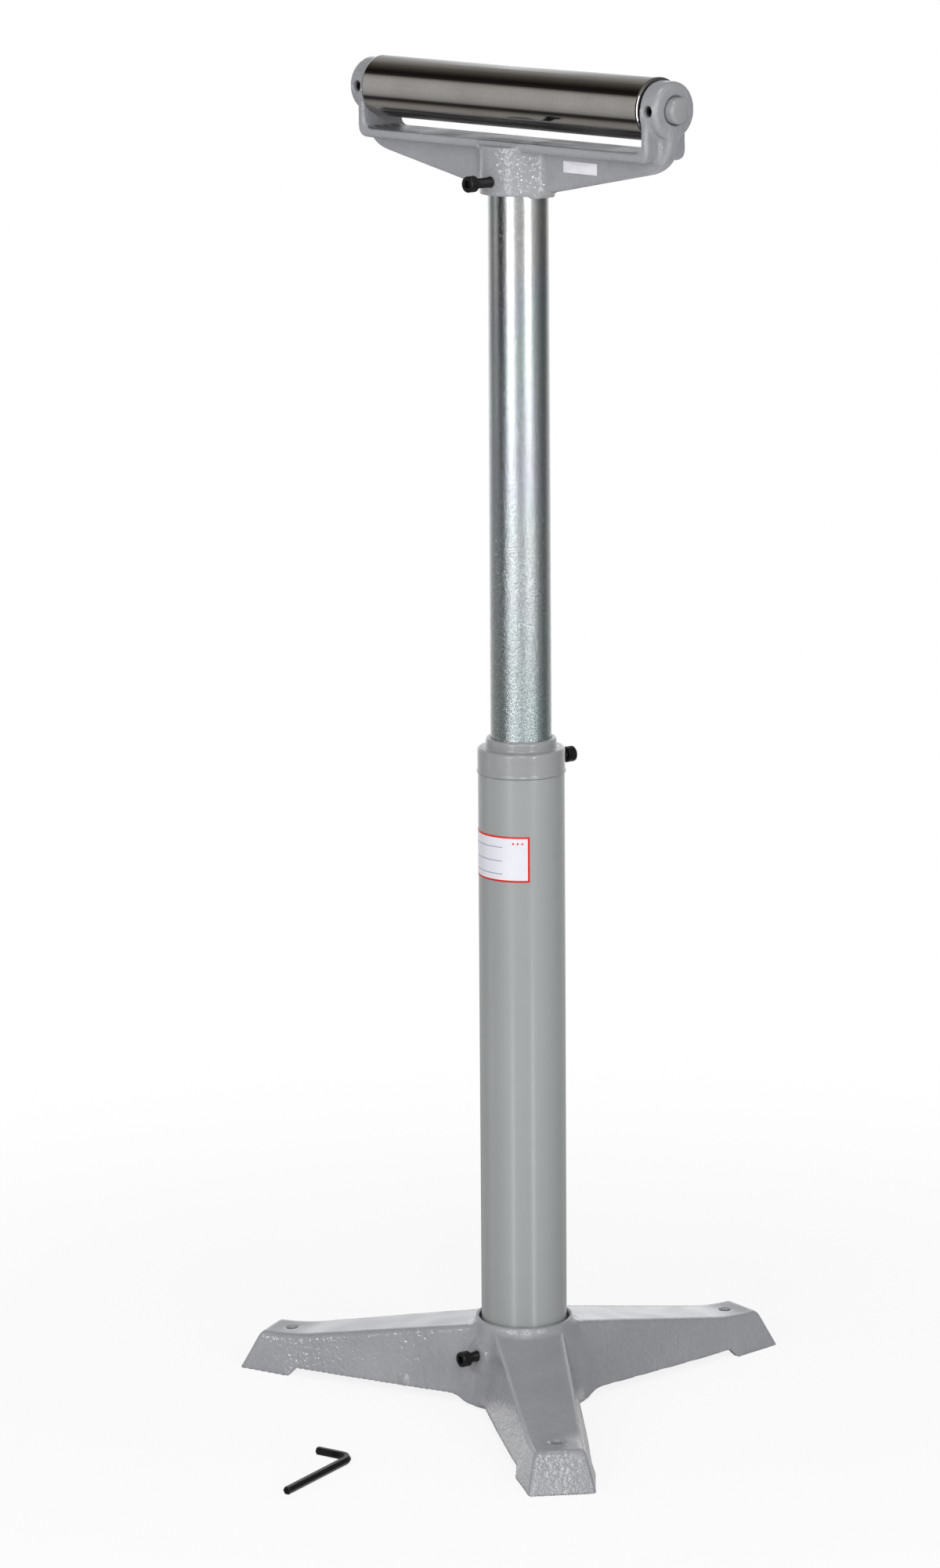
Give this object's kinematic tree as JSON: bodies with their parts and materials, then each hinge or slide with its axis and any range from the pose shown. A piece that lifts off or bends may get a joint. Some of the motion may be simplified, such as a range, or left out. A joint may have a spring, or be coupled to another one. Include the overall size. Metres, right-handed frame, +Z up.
{
  "type": "roller stand",
  "caption": "Height-adjustable pipe roller stand: cast three-legged base, sliding clamped mast, swivelling head and a ball-bearing roller.",
  "frame": {"origin": "on the floor, on the axis of the column and centre of the circle of the foot anchor holes", "axes": "+Z up along the column and mast; +X along the roller, towards the end seen nearer in the picture; -Y is the side of the head's clamp screw"},
  "size_m": [0.4423, 0.5397, 1.067],
  "materials": {
    "casting_paint": "grey hammered gloss paint on an as-cast skin",
    "column_paint": "smooth grey gloss paint",
    "collar_paint": "grey gloss paint on a turned casting",
    "galvanised_steel": "zinc plating with a fine spangle",
    "polished_steel": "mirror polished",
    "axle_paint": "grey gloss paint over turned steel",
    "bearing_steel": "ground",
    "ball_steel": "polished",
    "cage_brass": "pressed brass",
    "shield_steel": "dark pressed steel",
    "guide_plastic": "moulded, dark",
    "black_oxide": "black oxide",
    "label_film": "white film with a red border",
    "sticker_film": "white film"
  },
  "bodies": {
    "base": {"base_casting": "casting_paint", "hex_key": "black_oxide"},
    "column": {"column_tube": "column_paint", "collar": "collar_paint", "column_label": "label_film"},
    "mast": {"mast_tube": "galvanised_steel", "mast_guide_ring": "guide_plastic"},
    "head": {"head_casting": "casting_paint", "head_sticker": "sticker_film", "axle": "axle_paint", "axle_spacer_left": "bearing_steel", "axle_spacer_right": "bearing_steel", "bearing_inner_ring_left": "bearing_steel", "bearing_inner_ring_right": "bearing_steel"},
    "roller": {"roller_tube": "polished_steel", "bearing_outer_ring_left": "bearing_steel", "bearing_outer_ring_right": "bearing_steel", "bearing_shields_left": "shield_steel", "bearing_shields_right": "shield_steel"},
    "bearing_cages": {"bearing_cage_left": "cage_brass", "bearing_cage_right": "cage_brass", "bearing_balls_left": "ball_steel", "bearing_balls_right": "ball_steel"},
    "base_screw": {"base_clamp_screw": "black_oxide"},
    "collar_screw": {"collar_clamp_screw": "black_oxide"},
    "head_screw": {"head_clamp_screw": "black_oxide"},
    "axle_screw_left": {"axle_set_screw_left": "black_oxide"},
    "axle_screw_right": {"axle_set_screw_right": "black_oxide"}
  },
  "joints": [
    {"name": "column_turn", "type": "hinge", "parent": "base", "child": "column", "pos_m": [0, 0, 0], "axis": [0, 0, 1], "continuous": true},
    {"name": "height_slide", "type": "slide", "parent": "column", "child": "mast", "axis": [0, 0, 1], "range_m": [-0.381, 0]},
    {"name": "head_swivel", "type": "hinge", "parent": "mast", "child": "head", "pos_m": [0, 0, 1], "axis": [0, 0, 1], "continuous": true},
    {"name": "roller_spin", "type": "hinge", "parent": "head", "child": "roller", "pos_m": [0, 0, 1.04295], "axis": [1, 0, 0], "continuous": true},
    {"name": "cage_spin", "type": "hinge", "parent": "head", "child": "bearing_cages", "pos_m": [0, 0, 1.04295], "axis": [1, 0, 0], "continuous": true},
    {"name": "base_screw_turn", "type": "hinge", "parent": "base", "child": "base_screw", "pos_m": [0, 0, 0.042], "axis": [-0.1219, -0.9925, 0], "range_deg": [0, 720]},
    {"name": "collar_screw_turn", "type": "hinge", "parent": "column", "child": "collar_screw", "pos_m": [0, 0, 0.522], "axis": [0.1219, 0.9925, 0], "range_deg": [0, 720]},
    {"name": "head_screw_turn", "type": "hinge", "parent": "head", "child": "head_screw", "pos_m": [0, 0, 0.9798], "axis": [0, -1, 0], "range_deg": [0, 720]},
    {"name": "left_set_screw_turn", "type": "hinge", "parent": "head", "child": "axle_screw_left", "pos_m": [-0.1607, 0, 1.04295], "axis": [0, -1, 0], "range_deg": [0, 720]},
    {"name": "right_set_screw_turn", "type": "hinge", "parent": "head", "child": "axle_screw_right", "pos_m": [0.1607, 0, 1.04295], "axis": [0, -1, 0], "range_deg": [0, 720]}
  ],
  "couplings": [
    {"joint": "cage_spin", "follows": "roller_spin", "ratio": 0.602}
  ]
}
